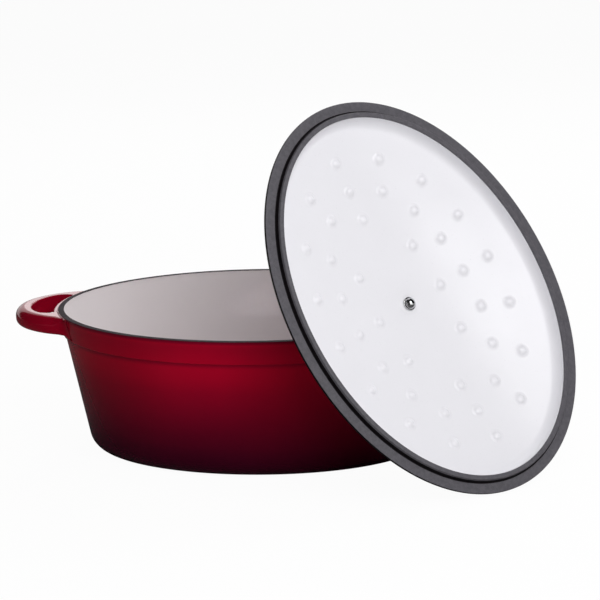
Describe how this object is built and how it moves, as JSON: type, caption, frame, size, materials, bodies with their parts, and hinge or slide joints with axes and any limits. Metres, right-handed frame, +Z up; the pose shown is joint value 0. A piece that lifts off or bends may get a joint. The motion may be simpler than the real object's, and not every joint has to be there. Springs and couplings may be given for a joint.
{
  "type": "oval casserole",
  "caption": "Oval enamelled cast iron casserole with loop handles and a domed lid, its knob screwed on, lifted off and leaning against the rim.",
  "frame": {"origin": "middle of the pot's flat underside, on the surface it stands on", "axes": "+X along the pot's length towards the handle the lid leans beside, +Z up, -Y towards the side the lid stands on"},
  "size_m": [0.438, 0.2839, 0.2746],
  "materials": {
    "pot_enamel": "gloss enamel",
    "lid_enamel": "gloss enamel",
    "knob_steel": "polished",
    "bush_brass": "turned",
    "screw_chrome": "polished"
  },
  "bodies": {
    "pot": {"pot": "pot_enamel"},
    "lid": {"lid": "lid_enamel", "knob_cap": "knob_steel", "knob_base": "knob_steel", "knob_bush": "bush_brass", "lid_screw": "screw_chrome", "screw_washer": "screw_chrome"}
  },
  "joints": [
    {"name": "lid_lift", "type": "slide", "parent": "pot", "child": "lid", "axis": [0, 0, 1], "range_m": [0, 0.14]}
  ]
}
